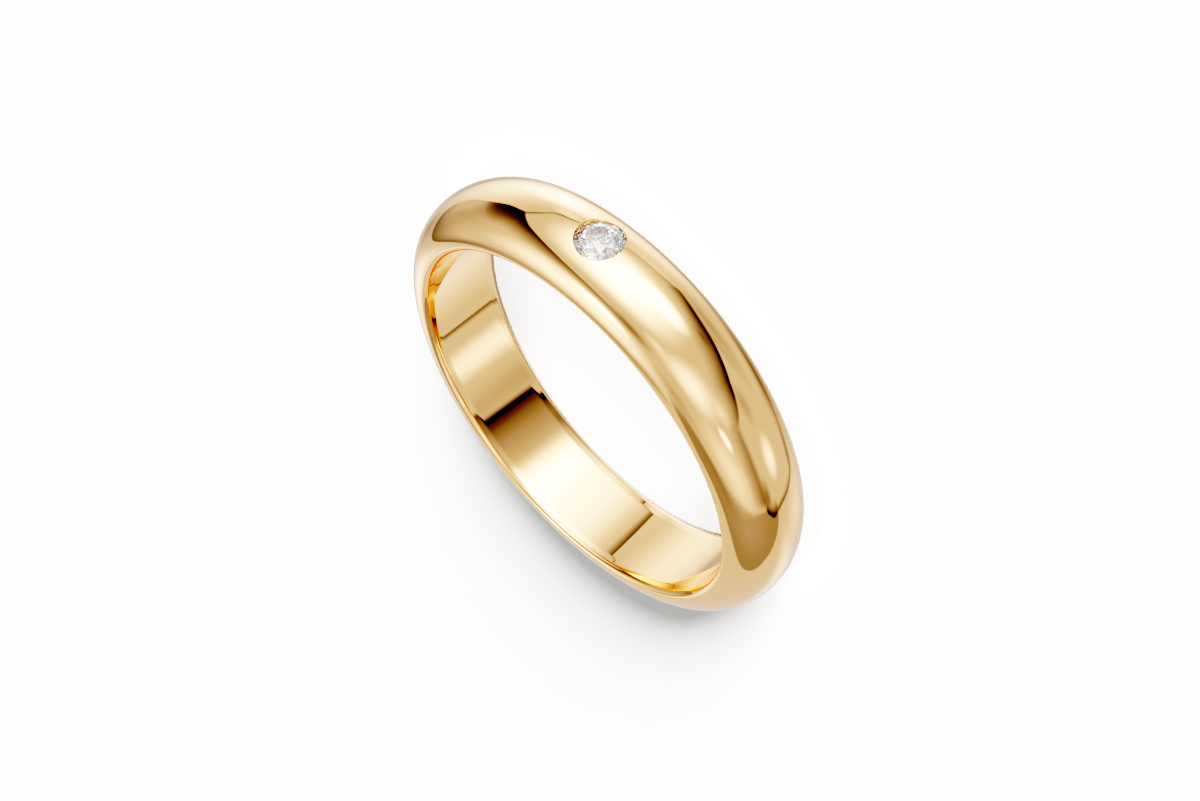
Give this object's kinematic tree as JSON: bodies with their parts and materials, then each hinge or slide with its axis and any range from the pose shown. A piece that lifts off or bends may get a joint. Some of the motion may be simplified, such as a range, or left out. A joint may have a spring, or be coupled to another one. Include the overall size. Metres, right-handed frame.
{
  "type": "diamond wedding band",
  "caption": "D-shaped polished yellow gold wedding band, flat inside and domed outside, with a small round brilliant diamond set flush in the crest of the dome.",
  "frame": {"origin": "centre of the finger hole, on its axis, at the middle of the band's width", "axes": "+Z along the finger hole's axis, which is vertical as the ring lies on its side; -Y from the hole's centre to the stone; +X completes the right-handed frame"},
  "size_m": [0.021, 0.021, 0.004],
  "materials": {
    "polished_gold": "mirror-polished 18 carat yellow gold",
    "diamond": "cut and polished colourless diamond"
  },
  "bodies": {
    "root": {"band": "polished_gold", "diamond": "diamond"}
  },
  "joints": []
}
